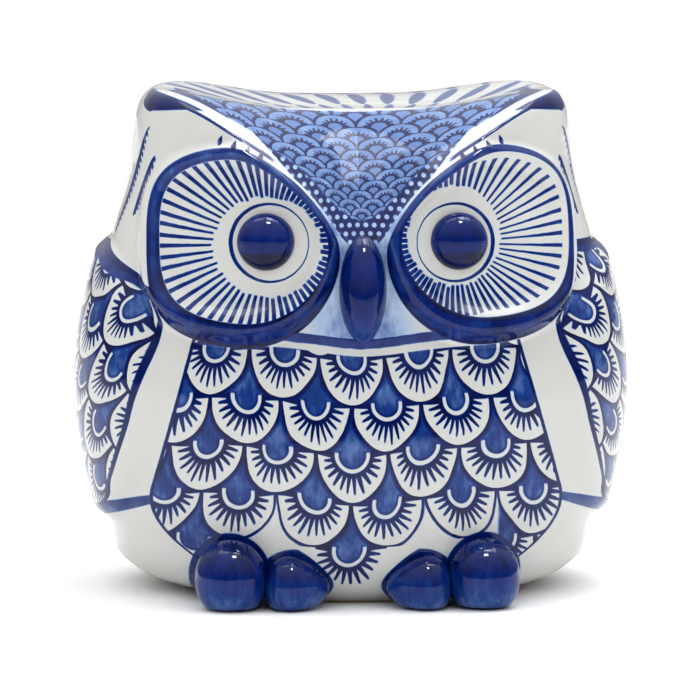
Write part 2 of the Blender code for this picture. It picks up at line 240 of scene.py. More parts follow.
def front_surface(x, z):
    """The finished front's y at (x, z), found by stepping back along the surface's normal."""
    u, v = x.copy(), z.copy()
    for _ in range(8):
        slope_x = plain_front(u + 0.5, v) - plain_front(u - 0.5, v)
        slope_z = plain_front(u, v + 0.5) - plain_front(u, v - 0.5)
        y = plain_front(u, v)
        lift = relief(u, y, v) / np.sqrt(slope_x**2 + slope_z**2 + 1)
        u, v = x - lift * slope_x, z - lift * slope_z
    return y - lift


def crown_height(x, y):
    """Height of the crown and the flat top of the head above (x, y)."""
    x = np.abs(x)
    brow = smooth_curve(BROW, x)
    crest_y = plain_front(x, brow)
    length = smooth_curve(CROWN_LENGTH, x)
    top = TOP_MIDDLE + smooth_curve(EAR_RISE, x) + TOP_BACK_RISE * smooth_step(-20, 30, y)
    along = np.clip((y - crest_y) / length, 0, 1)
    return brow + (top - brow) * (1 - (1 - along) ** CROWN_CURVE)


def cut_crown(points, inset):
    """Slides what lies above the crown back and down on to it, with a rounded crest."""
    x, y, z = points[..., 0], points[..., 1], points[..., 2]
    back, down = math.cos(CUT_ANGLE), math.sin(CUT_ANGLE)
    low, high = np.full(x.shape, -200.0), np.full(x.shape, 80.0)
    for _ in range(36):
        middle = (low + high) / 2
        above = z - middle * down > crown_height(x, y + middle * back) - inset * 1.25
        low, high = np.where(above, middle, low), np.where(above, high, middle)
    slide = (low + np.sqrt(low**2 + CREST_ROUNDING**2)) / 2
    return np.stack([x, y + slide * back, z - slide * down], axis=-1)


def profile_rows(count):
    """(height, fill) rows from the bottom to the virtual top, closest together over the face."""
    straight = np.linspace(0, SHOULDER_HEIGHT, 400)
    turn = np.linspace(0, math.pi / 2, 400)[1:]
    power = SHOULDER_SQUARENESS
    reach = (np.cos(turn) ** power + np.sin(turn) ** power) ** (-1 / power)
    z = np.concatenate([straight, SHOULDER_HEIGHT + (VIRTUAL_TOP - SHOULDER_HEIGHT) * reach * np.sin(turn)])
    fill = np.concatenate([np.ones_like(straight), reach * np.cos(turn)])
    out = smooth_curve(HALF_WIDTH, z) * fill
    face = smooth_step(66, 76, z) * (1 - smooth_step(134, 146, z))
    crowding = 1 + FACE_CROWDING * face - 0.4 * smooth_step(0.05, 0.2, 1 - fill)
    run = np.concatenate([[0], np.cumsum(np.hypot(np.diff(z), np.diff(out)) * crowding[1:])])
    at = np.linspace(0, run[-1], count + 1)[:-1]
    return np.interp(at, run, z), np.interp(at, run, fill)


def owl_grid(columns, rows, inset):
    """A grid of points over the body; an inset one is the plain cavity inside it."""
    height, fill = profile_rows(rows)
    angle, z = np.meshgrid(column_angles(columns), height)
    fill = np.broadcast_to(fill[:, None], z.shape)
    if inset:
        floor = FOOT_RING_HEIGHT + inset
        x, y = plain_section(angle, z, fill, inset)
        squeezed = floor + z * (VIRTUAL_TOP - floor - inset) / VIRTUAL_TOP
        return cut_crown(np.stack([x, y, squeezed], axis=-1), inset)
    x, y = plain_section(angle, z, fill, 0)
    points = np.stack([x, y, z], axis=-1)
    across = np.roll(points, -1, axis=1) - np.roll(points, 1, axis=1)
    normal = np.cross(across, np.gradient(points, axis=0))
    normal /= np.maximum(np.linalg.norm(normal, axis=-1, keepdims=True), 1e-9)
    lifted = points + normal * relief(x, y, z)[..., None]
    lifted[0] = points[0]
    return cut_crown(lifted, 0)


def painted_outline(x, z, shape, brow_room):
    """Like outline_distance, with the corner under the brow rounded off as a brush does."""
    outside = outline_distance(x, z, shape, -60.0)
    above = z - smooth_curve(BROW, np.abs(x)) + brow_room
    return (outside + above + np.sqrt((outside - above) ** 2 + BRUSH_ROUNDING**2)) / 2 - BRUSH_ROUNDING * 0.2


def side_by_side(x, left, right):
    """One value on the -X side and another on the +X side."""
    return np.where(x < 0, left, right)


def plain_back(x, z):
    """The back's y at (x, z), where the back is plain."""
    half_width, depth = smooth_curve(HALF_WIDTH, z), smooth_curve(BACK, z)
    return depth * np.maximum(1 - np.abs(x / half_width) ** BACK_SQUARENESS, 0) ** (1 / BACK_SQUARENESS)


def crown_reach(x, y, z):
    """How far up the crown a point is from the beak, roughly in millimetres along its middle."""
    level = z - smooth_curve(EAR_RISE, np.abs(x)) * smooth_step(120, 146, z)
    return np.clip(1.2 * (level - 105) + 0.28 * (y + 62), 0, 90)


def feather_bed(x, y, z, angle, wing_edge):
    """Feather coordinates: columns and rows, a whole row number at each feather's eye."""
    down = BELLY_TOP + BELLY_SAG * smooth_step(0, 34, np.abs(x)) - z
    belly = x / (19.6 + 0.05 * np.clip(down, 0, 60)) - 0.33, down / FEATHER_DROP
    back_bow = 6.0 * (x / 45) ** 2
    back = x / FEATHER_WIDTH, (BACK_TOP - z + back_bow) / FEATHER_DROP
    eased = (z + WING_STRAIGHT_BELOW + np.hypot(z - WING_STRAIGHT_BELOW, 8)) / 2
    across = np.radians(angle - smooth_curve(WING_FRONT, eased)) * WING_ARC_RADIUS
    drop = WING_TOP - z
    turn, lean = math.cos(WING_TILT), math.sin(WING_TILT)
    wing = (across * turn - drop * lean) / WING_FEATHER_WIDTH, (drop * turn + across * lean) / FEATHER_DROP
    reach = crown_reach(x, y, z)
    crown = x / (3.4 + 0.19 * reach), np.log(1 + 0.0229 * reach) / 0.055
    above_brow = z - smooth_curve(BROW, np.abs(x)) > -4
    in_wing = wing_edge > -5
    places = [(z > 100) & above_brow & (y < 15), in_wing, y > 0]
    columns = np.select(places, [crown[0], wing[0], back[0]], belly[0])
    rows = np.select(places, [crown[1], wing[1], back[1]], belly[1])
    return columns, rows


def paint_guides(points):
    """Smooth numbers at each vertex that the painting is drawn from."""
    x, y, z = points.T
    wide = np.abs(x)
    angle = np.degrees(np.arctan2(wide, -y))
    ahead = (angle - smooth_curve(WING_FRONT, z)) * 1.25
    behind = (134 - 0.35 * (100 - z).clip(0) - angle) * 1.2
    below = z - 22.5 - 0.006 * (angle - 96) ** 2
    left_top = 93.2 + np.clip((angle - 52) * 0.41, 0, 12)
    right_top = 90.0 + 16.0 * smooth_step(54, 61, angle)
    wing_top = side_by_side(x, left_top, right_top) - z
    wing_edge = np.minimum(np.minimum(ahead, behind), np.minimum(wing_top, below))
    columns, rows = feather_bed(x, y, z, angle, wing_edge)
    edges = [wide_at + (top - z) * lean for wide_at, top, lean in BELLY_EDGE.values()]
    bands = [painted_outline(x, z, shape, PAD_BROW_ROOM) for shape in (LEFT_BAND, RIGHT_BAND)]
    whites = [painted_outline(x, z, shape, DISH_BROW_ROOM) for shape in (LEFT_WHITE, RIGHT_WHITE)]
    return {
        "angle": angle,
        "brow": z - smooth_curve(BROW, wide),
        "mouth": z - smooth_curve(MOUTH, np.hypot(wide, 4.0)),
        "band": side_by_side(x, *bands),
        "white": side_by_side(x, *whites),
        "belly": side_by_side(x, *edges) - 0.045 * (34 - z).clip(0) ** 2 - wide,
        "wing": wing_edge,
        "wing_top": wing_top,
        "columns": columns,
        "rows": rows,
        "reach": crown_reach(x, y, z),
    }


class Ink:
    """A number that varies over a surface. Ordinary arithmetic on it adds shader nodes."""

    def __init__(self, tree, socket):
        self.tree, self.socket = tree, socket

    def math(self, operation, *others, clamp=False):
        node = self.tree.nodes.new("ShaderNodeMath")
        node.operation, node.use_clamp = operation, clamp
        for slot, value in zip(node.inputs, (self, *others)):
            if isinstance(value, Ink):
                self.tree.links.new(value.socket, slot)
            else:
                slot.default_value = value
        return Ink(self.tree, node.outputs[0])

    def __add__(self, other):
        return self.math("ADD", other)

    def __sub__(self, other):
        return self.math("SUBTRACT", other)

    def __mul__(self, other):
        return self.math("MULTIPLY", other)

    def __truediv__(self, other):
        return self.math("DIVIDE", other)

    def __rsub__(self, other):
        return self.math("MULTIPLY_ADD", -1.0, other)

    __radd__ = __add__
    __rmul__ = __mul__

    def size(self):
        return self.math("ABSOLUTE")

    def above(self, edge, soft=0.25):
        """1 where the number is over edge and 0 where it is under, over a soft step."""
        return (self - edge).math("MULTIPLY_ADD", 1 / soft, 0.5, clamp=True)

    def below(self, edge, soft=0.25):
        return (self - edge).math("MULTIPLY_ADD", -1 / soft, 0.5, clamp=True)

    def within(self, centre, reach, soft=0.25):
        return (self - centre).size().below(reach, soft)

    def choose(self, other, amount):
        """This number where amount is 0, and other where it is 1."""
        if isinstance(other, Ink):
            return (other - self) * amount + self
        return self * (1 - amount) + amount * other

    def clamped(self):
        return self.math("MULTIPLY", 1.0, clamp=True)

    def most(self, other):
        return self.math("MAXIMUM", other)

    def least(self, other):
        return self.math("MINIMUM", other)

    def whole(self):
        return self.math("FLOOR")

    def part(self):
        return self.math("FRACT")


def length(a, b):
    """Length of the step (a, b), as ink."""
    return (a * a + b * b).math("SQRT")


class Surface:
    """The shader coordinates that a painted material draws with."""

    def __init__(self, material):
        material.use_nodes = True
        self.tree = material.node_tree
        self.shader = self.tree.nodes["Principled BSDF"]
        place = self.tree.nodes.new("ShaderNodeTexCoord")
        scaled = self.tree.nodes.new("ShaderNodeVectorMath")
        scaled.operation = "SCALE"
        scaled.inputs["Scale"].default_value = 1000
        self.tree.links.new(place.outputs["Object"], scaled.inputs[0])
        self.place = scaled.outputs[0]
        apart = self.tree.nodes.new("ShaderNodeSeparateXYZ")
        self.tree.links.new(self.place, apart.inputs[0])
        self.x, self.y, self.z = (Ink(self.tree, socket) for socket in apart.outputs)
        self.wide = self.x.size()
        self.right = self.x.above(0, 0.01)

    def guide(self, name):
        node = self.tree.nodes.new("ShaderNodeAttribute")
        node.attribute_name = name
        return Ink(self.tree, node.outputs["Fac"])

    def sides(self, left, right):
        """One value on the -X side and another on the +X side."""
        return self.right.math("MULTIPLY_ADD", right - left, left)

    def noise(self, stretch, detail=2.0, roughness=0.5):
        """Three noises from 0 to 1 whose features are about stretch millimetres long on each axis."""
        scaled = self.tree.nodes.new("ShaderNodeVectorMath")
        scaled.operation = "DIVIDE"
        scaled.inputs[1].default_value = stretch
        self.tree.links.new(self.place, scaled.inputs[0])
        node = self.tree.nodes.new("ShaderNodeTexNoise")
        node.inputs["Scale"].default_value = 1
        node.inputs["Detail"].default_value = detail
        node.inputs["Roughness"].default_value = roughness
        self.tree.links.new(scaled.outputs[0], node.inputs["Vector"])
        apart = self.tree.nodes.new("ShaderNodeSeparateColor")
        self.tree.links.new(node.outputs["Color"], apart.inputs[0])
        return [Ink(self.tree, socket) for socket in apart.outputs]

    def random(self, number):
        """A number from 0 to 1 that belongs to each whole number."""
        node = self.tree.nodes.new("ShaderNodeTexWhiteNoise")
        node.noise_dimensions = "1D"
        self.tree.links.new(number.socket, node.inputs["W"])
        return Ink(self.tree, node.outputs["Value"])

    def colour(self, ink, stops):
        """Turns ink from 0 to 1 into colour through a ramp of (position, colour) stops."""
        node = self.tree.nodes.new("ShaderNodeValToRGB")
        ramp = node.color_ramp
        ramp.elements[0].position, ramp.elements[0].color = stops[0][0], (*stops[0][1], 1)
        ramp.elements[1].position, ramp.elements[1].color = stops[-1][0], (*stops[-1][1], 1)
        for position, colour in stops[1:-1]:
            ramp.elements.new(position).color = (*colour, 1)
        self.tree.links.new(ink.socket, node.inputs[0])
        return node.outputs["Color"]

    def bump(self, height, strength, distance):
        node = self.tree.nodes.new("ShaderNodeBump")
        node.inputs["Strength"].default_value = strength
        node.inputs["Distance"].default_value = distance
        self.tree.links.new(height.socket, node.inputs["Height"])
        self.tree.links.new(node.outputs["Normal"], self.shader.inputs["Normal"])


def feather(surface, columns, rows, crown, wash):
    """Ink of a bed of overlapping feathers, each hanging from a whole row number.

    Each has a washed eye, a white crescent round it, a dark comb of tapered rays, and a thin dark outline. On
    the crown they are plainer: a pale eye in a dark comb on pale blue. Also gives where the lower row shows
    between the feathers of the upper row, and how far past their outline that is.
    """
    row = rows.whole()
    half = row.math("FLOORED_MODULO", 2) * 0.5
    upper_column = columns + half
    upper_across = (upper_column.part() - 0.5) * FEATHER_WIDTH
    lower_across = ((columns - half + 0.5).part() - 0.5) * FEATHER_WIDTH
    upper_down = (rows - row) * FEATHER_DROP - 0.35
    outline = length(upper_across / 9.8, upper_down / 13.05)
    is_lower = outline.math("GREATER_THAN", 1.0)
    across = upper_across.choose(lower_across, is_lower)
    down = upper_down - is_lower * FEATHER_DROP
    around = length(across, (down + 0.6).most(0.0) * 0.9)
    white = around.above(5.7, 0.35) * (down + around * 0.06).above(0.6, 0.3) * (1 - is_lower)
    per_ray = crown.math("MULTIPLY_ADD", math.radians(9.0), math.radians(14.6))
    sweep = across.math("ARCTAN2", down * 0.86) / per_ray
    from_ray = (sweep.part() - 0.5).size() * around * per_ray
    chance = surface.random(sweep.whole() + upper_column.whole() * 17.3 + row * 5.7)
    half_width = outline * -1.0 + 1.1 + chance * 0.08 + crown * 0.22
    rays = (half_width - from_ray).above(0, 0.24) * outline.below(chance * 0.1 + 0.78 - crown * 0.14, 0.06)
    crescent = around.within(3.95, 0.55, 0.3) * down.above(-1.4, 0.6) * (1 - crown)
    gap = (outline - 1.0) * 10.0 * is_lower + (1 - is_lower) * 9.0
    pocket = (3.4 - around).most(-2.0 - down * 1.4).least(gap - (crown * 0.9 + 0.75))
    pool = wash * 0.5 + 0.36 + pocket.below(0.4, 1.0) * 0.3
    ink = (wash * 0.2 + 0.82).choose(pool.choose(wash * 0.14 + 0.33, crown), pocket.above(0, 0.3))
    ink = ink.choose(0.0, crescent)
    return ink.choose(rays * (wash * 0.25 + 0.78), white), is_lower, gap


def finished(scales, rows, is_lower, gap, last, kept):
    """The bed's ink with nothing below its last row but that row's outline, save where it is kept."""
    row = rows.whole()
    past = row.above(last + 0.5)
    fringe = gap.below(0.75, 0.3) * (1 - past) * 0.85
    ends = (row.above(last - 0.5) * is_lower).most(past) * (1 - kept)
    return scales.choose(fringe, ends)


def stroke(angle, z, start, end):
    """A curved brush stroke from and to (angle, z), with short barbs on its front edge."""
    down = (start[1] - z) / (start[1] - end[1])
    run = down.math("POWER", 0.75)
    offset = (angle - (run * (end[0] - start[0]) + start[0])) * 1.2
    body = (down * (1 - down) * 4.0).most(0.0).math("POWER", 0.6)
    line = (body * 1.5 + 0.15 - offset.size()).above(0, 0.3)
    tooth = ((z - offset * 0.6) / BARB_PITCH).part()
    reach = body * STROKE_BARB / 2
    comb = tooth.within(0.5, 0.27, 0.2) * (offset + reach).size().below(reach, 0.4)
    return line.most(comb) * down.above(0, 0.02) * down.below(1, 0.02)


def eye_painting(surface, wash, jitter):
    """Ink of the eyes: a washed band, fine rays that stop short of the pupil, and a thin ring round it.

    Also gives the distance outside the band.
    """
    band, white = surface.guide("band"), surface.guide("white")
    calm_x, calm_z, calm_half_x, calm_half_z = (surface.sides(*pair) for pair in zip(LEFT_CALM, RIGHT_CALM))
    calm = length((surface.wide - calm_x) / calm_half_x, (surface.z - calm_z) / calm_half_z)
    across, up = surface.wide - IRIS_CENTRE[0], surface.z - IRIS_CENTRE[1]
    radius = length(across, up)
    sweep = across.math("ARCTAN2", up) * (EYE_RAYS / math.tau) + jitter * 0.07
    chance = surface.random(sweep.whole() + surface.right * 91)
    from_middle = (sweep.part() - 0.5 + (chance - 0.5) * 0.12).size()
    from_ray = from_middle * radius * (math.tau / EYE_RAYS)
    outward = white.math("MULTIPLY_ADD", 1 / 14, 1.0, clamp=True)
    half_width = outward * surface.sides(0.3, 0.36) + surface.sides(0.34, 0.28)
    rim_gap = 0.5 - across.above(6, 8) * surface.sides(0.6, 2.4)
    rays = (half_width - from_ray).above(0, 0.25) * calm.above(chance * 0.06 + 1.0, 0.04)
    rays = rays * white.below(rim_gap, 0.3)
    edge = band.within(-0.3, 0.7, 0.8).most(white.within(0.5, 0.6, 0.8))
    # low inks the band darker towards its bottom: painted shade on the downward-facing lower part of the
    # raised pad
    low = up.below(-4.0, 30.0)
    ring_ink = wash * 0.4 + 0.42 + low * 0.2 + edge * 0.15
    ring = band.below(0, 0.3) * white.above(0, 0.3) * ring_ink
    iris_width = across * 0.02 + 0.36
    iris = (iris_width - (radius + jitter * 0.2 - IRIS_RADIUS).size()).above(0, 0.25) * (wash * 0.3 + 0.65)
    return ring.most(rays * (wash * 0.3 + 0.62)).most(iris), band


def face_painting(surface, wash, jitter):
    """Ink of the face between the brow and the mouth, with its dashes and the wash round the beak."""
    eyes, band = eye_painting(surface, wash, jitter)
    mouth, brow = surface.guide("mouth"), surface.guide("brow")
    line = (mouth + jitter * 0.4).within(0.2, 1.45, 0.4) * band.above(-1, 0.5) * surface.wide.below(34, 2)
    beside = surface.wide.below(13, 9) * mouth.above(0, 1) * band.above(0, 0.4)
    streaks = beside * (wash * 0.45 + 0.02)
    height = brow + (surface.wide - 29.6) * 0.25 + 2.6
    from_beat = (((surface.wide + height * 0.35) / 3.9).part() - 0.5).size() * 3.9
    drop = (height * -0.18 + 0.62) * (1.0 - (height / 1.8).math("POWER", 2.0))
    dashes = (drop - from_beat).above(0, 0.25) * height.within(0, 1.9, 0.2) * surface.wide.within(34.5, 7, 1)
    return eyes.most(line * (wash * 0.3 + 0.62)).most(streaks).most(dashes * 0.9)


def ear_painting(surface, brow, wash):
    """Ink of the dark wedge on the face side of each ear, and the dark leaf on its crest."""
    taper = (surface.wide - 46.0) * (surface.y * -0.02 - 0.14).least(0.42)
    wedge = (taper + brow).above(0, 0.4) * brow.below(0.2, 0.4)
    leaf_half = (surface.wide - 36.0).most(0.0) * (surface.y * -0.003 - 0.02).least(0.055)
    leaf = (leaf_half - (brow - 2.6).size()).above(0, 0.4) * surface.wide.above(38, 1)
    ear = wedge.most(leaf) * surface.z.above(134, 2) * surface.y.below(-7, 1)
    return ear * (wash * 0.3 + 0.75)


def petal_painting(surface, wash):
    """Ink of the long petals that fan back over the flat top of the head."""
    back = surface.y + 62.0
    radius = length(surface.x, back) / PETAL_LENGTH
    row = radius.whole()
    along = radius - row
    sweep = surface.x.math("ARCTAN2", back) * (PETALS / math.tau) + row * 0.5 + along * 0.35
    across = (sweep.part() - 0.5).size() * 2
    leaf = (along * (1 - along) * 3.8).math("POWER", 0.6) * 0.5
    ends = (surface.z - PETALS_END).math("MULTIPLY", 1 / 16, clamp=True)
    return (leaf * ends - across).above(0, 0.2) * ends.above(0.02, 0.02) * (wash * 0.35 + 0.45)


def crown_painting(surface, scales, brow, reach, wash):
    """Ink of the crown: pale blue scales, with a dark dotted edge along the brow."""
    pale = scales.most(wash * 0.14 + 0.28)
    edge_width = surface.wide.math("MULTIPLY_ADD", -0.12, 4.6).most(reach * -0.45 + 12.5)
    edge = brow.below(edge_width, 1.2) * surface.wide.below(31, 8)
    dot_x, dot_z = surface.wide / CROWN_DOT_PITCH, surface.z / CROWN_DOT_PITCH
    dots = length((dot_x + dot_z.whole() * 0.5).part() - 0.5, dot_z.part() - 0.5)
    edge_ink = (wash * 0.3 + 0.75).choose(wash * 0.15 + 0.12, dots.below(0.3, 0.12))
    near = reach.below(CROWN_TOP_REACH, 1.0) * surface.wide.below(50, 4)
    strip = surface.right * brow.below(2.2, 0.8) * surface.wide.below(20, 3)
    pale = pale.most(strip * (wash * 0.2 + 0.6))
    return pale.choose(edge_ink, edge) * near


def bank_painting(surface):
    """All the cobalt painting on the body, as one ink value from 0, bare glaze, to 1, the deepest blue."""
    wobble = surface.noise((13, 13, 13), 0.0)
    fine = surface.noise((2.6, 2.6, 2.6), 1.0)
    streaks = surface.noise((1.7, 1.7, 6.0), 3.0, 0.6)
    wash = (surface.noise((6, 6, 7), 2.0)[0] * 0.6 + streaks[1] * 0.4 - 0.5) * 2.0 + 0.5
    wash = wash.clamped()
    jitter = fine[0] - 0.5
    brow, reach, wing = surface.guide("brow"), surface.guide("reach"), surface.guide("wing")
    belly, angle, mouth = surface.guide("belly"), surface.guide("angle"), surface.guide("mouth")
    crown_edge = (surface.wide - 26).math("MULTIPLY_ADD", 0.4, 0.6).least(2.8).most(-1.8)
    on_crown = (brow - crown_edge).above(0, 0.6) * surface.y.below(4, 1) * surface.z.above(100, 1)
    columns = surface.guide("columns") + (wobble[1] - 0.5) * 0.16 + (fine[1] - 0.5) * 0.012
    rows = surface.guide("rows") + (wobble[2] - 0.5) * 0.16 + (fine[2] - 0.5) * 0.012
    scales, is_lower, gap = feather(surface, columns, rows, on_crown, wash)
    front = surface.y.below(0, 1)
    top_line = mouth + 3.4 + (wobble[0] - 0.5) * 0.8
    fifth = rows.whole().above(BELLY_LAST_ROW + 0.5)
    middle = (surface.x + 3.5).size().below(10.4, 0.3) * (1 - fifth * is_lower)
    in_belly = top_line.below(0, 0.3) * belly.above(0, 0.3) * front
    kept = middle.most(surface.wide.above(40, 1)) * surface.z.above(BELLY_END, 0.5)
    belly_ink = finished(scales, rows, is_lower, gap, BELLY_LAST_ROW, kept)
    belly_ink = belly_ink.most(belly.within(0.5, 0.55, 0.3) * 0.9) * in_belly
    cap = surface.guide("wing_top").below(wobble[0] * 3 + 2.5, 0.5)
    wing_ink = scales.choose(wash * 0.4 + 0.55, cap)
    wing_ink = wing_ink.most(wing.within(0.9, 1.1, 0.4) * 0.9) * wing.above(0, 0.3)
    panel = BACK_PANEL_HALF + (surface.z - 60.0) * 0.05
    in_back = (panel - surface.wide).above(0, 0.3) * surface.y.above(0, 1) * rows.above(0, 0.02)
    rim = (panel - surface.wide).within(0.6, 0.6, 0.3) * rows.below(BACK_LAST_ROW + 1, 0.02) * 0.9
    slot_x = (surface.wide - (SLOT_LENGTH - SLOT_WIDTH) / 2).most(0.0)
    slot = length(slot_x, surface.z - SLOT_HEIGHT)
    margin = slot.below(SLOT_WIDTH / 2 + SLOT_MARGIN, 0.3)
    back_scales = finished(scales, rows, is_lower, gap, BACK_LAST_ROW, 0.0)
    back_ink = (back_scales.most(rim) * in_back).choose(0.0, margin)
    frame_line = slot.within(SLOT_WIDTH / 2 + SLOT_MARGIN + 0.4, 0.5, 0.3) * surface.y.above(0, 1)
    back_ink = back_ink.most(frame_line * 0.9)
    face = face_painting(surface, wash, jitter) * brow.below(0.4, 0.6) * front * surface.z.above(60, 1)
    crown = crown_painting(surface, scales, brow, reach, wash) * on_crown
    petals = petal_painting(surface, wash) * reach.above(CROWN_TOP_REACH + 2, 1.0) * brow.above(2.6, 0.5)
    crest = (brow + 1.4).within(0, 0.5, 0.4) * surface.wide.within(38.5, 12.5, 2) * front
    ears = ear_painting(surface, brow, wash).most(crest * 0.9)
    head = surface.z.above(104, 1) * surface.z.below(141, 1) * wing.below(-3, 0.5)
    first, *others = (stroke(angle, surface.z, start, end) for start, end in HEAD_STROKES)
    strokes = reduce(Ink.most, others, first)
    link_half = (surface.wide - 58.0) * 0.085 + 1.1
    link = (link_half - (surface.z + (surface.wide - 61.0) * 0.36 - 30.4).size()).above(0, 0.4)
    link = link * belly.below(0.5, 0.3) * wing.below(0.5, 0.3) * front * surface.wide.above(55, 1)
    outer, inner = TOES["outer_toe"], TOES["inner_toe"]
    out = (surface.x - TOE_SHIFT).size()
    halo = length((out - outer["centre"][0]) / 11.9, (surface.z - outer["centre"][2]) / 13.1)
    inner_height = (17.6 - out).most(0.0).math("MULTIPLY_ADD", -0.45, 11.0)
    tip = length((out - 18.4) / 11.4, (surface.z - inner["centre"][2]) / inner_height)
    outside = length(surface.x, surface.y).above(FEET_INNER_LIMIT, 0.5)
    feet = halo.least(tip).below(1.0, 0.04) * front * outside * (wash * 0.3 + 0.65)
    ink = belly_ink.most(feet).most(wing_ink).most(back_ink).most(face).most(crown).most(petals)
    ink = ink.most(ears).most(strokes * head * 0.8).most(link * (wash * 0.35 + 0.5))
    return ink.clamped()


def painted_glaze():
    material = bpy.data.materials.new("painted_porcelain")
    surface = Surface(material)
    ink = bank_painting(surface)
    colour = surface.colour(ink, COBALT)
    mix = surface.tree.nodes.new("ShaderNodeMix")
    mix.data_type = "RGBA"
    bare = surface.z.below(0.9, 0.5)
    surface.tree.links.new(bare.socket, mix.inputs[0])
    surface.tree.links.new(colour, mix.inputs[6])
    mix.inputs[7].default_value = (*BISCUIT, 1)
    surface.tree.links.new(mix.outputs[2], surface.shader.inputs["Base Color"])
    ripple = surface.noise((14, 14, 14), 2.0)[0]
    roughness = bare * 0.5 + ripple * 0.05 + 0.05
    surface.tree.links.new(roughness.socket, surface.shader.inputs["Roughness"])
    surface.shader.inputs["IOR"].default_value = 1.36
    surface.bump(ripple, 0.35, 0.0012)
    return material


def inside_glaze():
    """Thin glaze inside the body, less glossy than the outside."""
    material = bpy.data.materials.new("inside_glaze")
    surface = Surface(material)
    cloud = surface.noise((22, 22, 22), 3.0)[0]
    surface.tree.links.new(surface.colour(cloud, INSIDE_TONES), surface.shader.inputs["Base Color"])
    surface.shader.inputs["Roughness"].default_value = 0.45
    surface.bump(cloud, 0.4, 0.001)
    return material


def solid_cobalt(name, tones, spread, streak):
    """A glossy brushed-on cobalt coat, whose tones are (height, ink) at the bottom and at the top; on the
    bead and the feet these tones are painted reflection.
    """
    material = bpy.data.materials.new(name)
    surface = Surface(material)
    broad = surface.noise((7, 7, 7), 2.0)[0]
    brush = surface.noise(streak, 3.0, 0.6)[1]
    (low, low_ink), (high, high_ink) = tones
    climb = (surface.z - low).math("MULTIPLY", 1 / (high - low), clamp=True)
    ink = climb * (high_ink - low_ink) + low_ink + (broad * 0.5 + brush * 0.5 - 0.5) * spread * 2
    ink = ink.clamped()
    surface.tree.links.new(surface.colour(ink, COBALT), surface.shader.inputs["Base Color"])
    ripple = surface.noise((9, 9, 9), 1.0)[0]
    surface.tree.links.new((ripple * 0.05 + 0.04).socket, surface.shader.inputs["Roughness"])
    surface.shader.inputs["IOR"].default_value = 1.31
    surface.bump(ripple, 0.3, 0.0008)
    return material


def stopper_rubber():
    material = bpy.data.materials.new("moulded_rubber")
    surface = Surface(material)
    grain = surface.noise((0.35, 0.35, 0.35), 3.0, 0.7)[0]
    bloom = surface.noise((6, 6, 6), 3.0)[1]
    surface.tree.links.new(surface.colour(bloom, RUBBER_TONES), surface.shader.inputs["Base Color"])
    surface.tree.links.new((bloom * 0.15 + 0.6).socket, surface.shader.inputs["Roughness"])
    surface.bump(grain, 0.5, 0.0002)
    return material


def make_piece(name, points, faces, material, body, node):
    """A smooth-shaded piece on its CAD body, standing for a CAD node. Its points are in millimetres."""
    mesh = bpy.data.meshes.new(name)
    mesh.from_pydata((np.asarray(points) * 0.001).tolist(), [], [tuple(map(int, face)) for face in faces])
    mesh.shade_smooth()
    mesh.set_sharp_from_angle(angle=math.radians(38))
    mesh.materials.append(material)
    piece = bpy.data.objects.new(name, mesh)
    bpy.context.scene.collection.objects.link(piece)
    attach(piece, body)
    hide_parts(node)
    return piece


def store(piece, guides):
    for name, values in guides.items():
        stored = piece.data.attributes.new(name, "FLOAT", "POINT")
        stored.data.foreach_set("value", np.asarray(values, np.float32))


def grid_faces(rows, columns, skip=None):
    """Faces of a grid that is closed round each row, leaving out those within a slot_block."""
    row, column = np.meshgrid(np.arange(rows - 1), np.arange(columns), indexing="ij")
    keep = np.ones(row.shape, bool)
    if skip:
        first, last, order = skip
        keep[np.ix_(range(first, last), order[1:])] = False
    row, column = row[keep], column[keep]
    low, high, right = row * columns, (row + 1) * columns, (column + 1) % columns
    return np.stack([low + column, low + right, high + right, high + column], -1).tolist()


def slot_block(grid, room):
    """The grid's first row, last row and columns, from -X to +X, round the coin slot on the back."""
    middle = grid.shape[1] // 2
    behind = np.roll(np.arange(grid.shape[1]), -middle)
    near_row = np.argmin(np.abs(grid[:, 0, 2] - SLOT_HEIGHT))
    across = np.abs(grid[near_row, :, 0]) < SLOT_LENGTH / 2 + room
    columns = [int(c) for c in np.roll(behind, middle) if across[c] and grid[near_row, c, 1] > 0]
    order = sorted(columns, key=lambda c: grid[near_row, c, 0])
    heights = grid[:, order[len(order) // 2], 2]
    rows = np.where(np.abs(heights - SLOT_HEIGHT) < SLOT_WIDTH / 2 + room)[0]
    return int(rows[0]), int(rows[-1]), order


def slot_rim(grid, block):
    """Indices of the grid's vertices round the block, in order."""
    first, last, order = block
    columns = grid.shape[1]
    bottom = [first * columns + c for c in order]
    right = [r * columns + order[-1] for r in range(first + 1, last)]
    top = [last * columns + c for c in reversed(order)]
    left = [r * columns + order[0] for r in range(last - 1, first, -1)]
    return bottom + right + top + left


def slot_rings(rim_points, steps):
    """Rings that run from the rim to the slot's outline and in through the wall, with a rounded lip."""
    x, z = rim_points[:, 0], rim_points[:, 2]
    centre = np.clip(x, -(SLOT_LENGTH - SLOT_WIDTH) / 2, (SLOT_LENGTH - SLOT_WIDTH) / 2)
    out = np.stack([x - centre, z - SLOT_HEIGHT], -1)
    out /= np.linalg.norm(out, axis=-1, keepdims=True)
    rings = []
    for grow, depth in steps:
        ring_x = centre + out[:, 0] * (SLOT_WIDTH / 2 + grow)
        ring_z = SLOT_HEIGHT + out[:, 1] * (SLOT_WIDTH / 2 + grow)
        surface = plain_back(ring_x, ring_z)
        if depth:
            surface = np.minimum(surface, plain_back(centre, np.full_like(x, SLOT_HEIGHT)))
        rings.append(np.stack([ring_x, surface - depth, ring_z], -1))
    return rings


